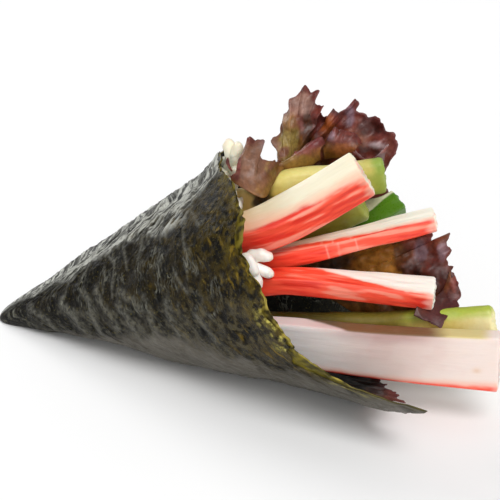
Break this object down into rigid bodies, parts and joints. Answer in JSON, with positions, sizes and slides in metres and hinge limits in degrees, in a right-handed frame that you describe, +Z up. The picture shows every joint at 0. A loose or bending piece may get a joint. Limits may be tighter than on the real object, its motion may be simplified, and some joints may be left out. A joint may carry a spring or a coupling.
{
  "type": "temaki hand roll",
  "caption": "Temaki hand roll: a seaweed cone packed with rice, lying on its side, with crab sticks, avocado, cucumber and red-leaf lettuce standing out of its open end.",
  "frame": {"origin": "middle of the bounding box in plan, on the surface that the roll lies on", "axes": "+X from the closed tip towards the open end, -Y the near side that shows the fillings, +Z up"},
  "size_m": [0.1502, 0.0862, 0.0755],
  "materials": {
    "nori": "dark green-black roasted seaweed, wrinkled, with a soft sheen",
    "rice": "moist white rice grains",
    "crab_stick": "moist white flesh with a red skin on one side",
    "avocado": "smooth yellow flesh turning green at the skin side",
    "cucumber": "glossy dark green skin with pale flesh",
    "lettuce": "frilled burgundy leaf, olive towards its foot, with a waxy sheen"
  },
  "bodies": {
    "root": {"nori_wrap": "nori", "rice": "rice", "crab_stick_top": "crab_stick", "crab_stick_middle": "crab_stick", "crab_stick_lower": "crab_stick", "crab_stick_broad": "crab_stick", "avocado_top": "avocado", "avocado_middle": "avocado", "avocado_lower": "avocado", "cucumber_stick": "cucumber", "lettuce_top": "lettuce", "lettuce_middle": "lettuce", "lettuce_bottom": "lettuce"}
  },
  "joints": []
}
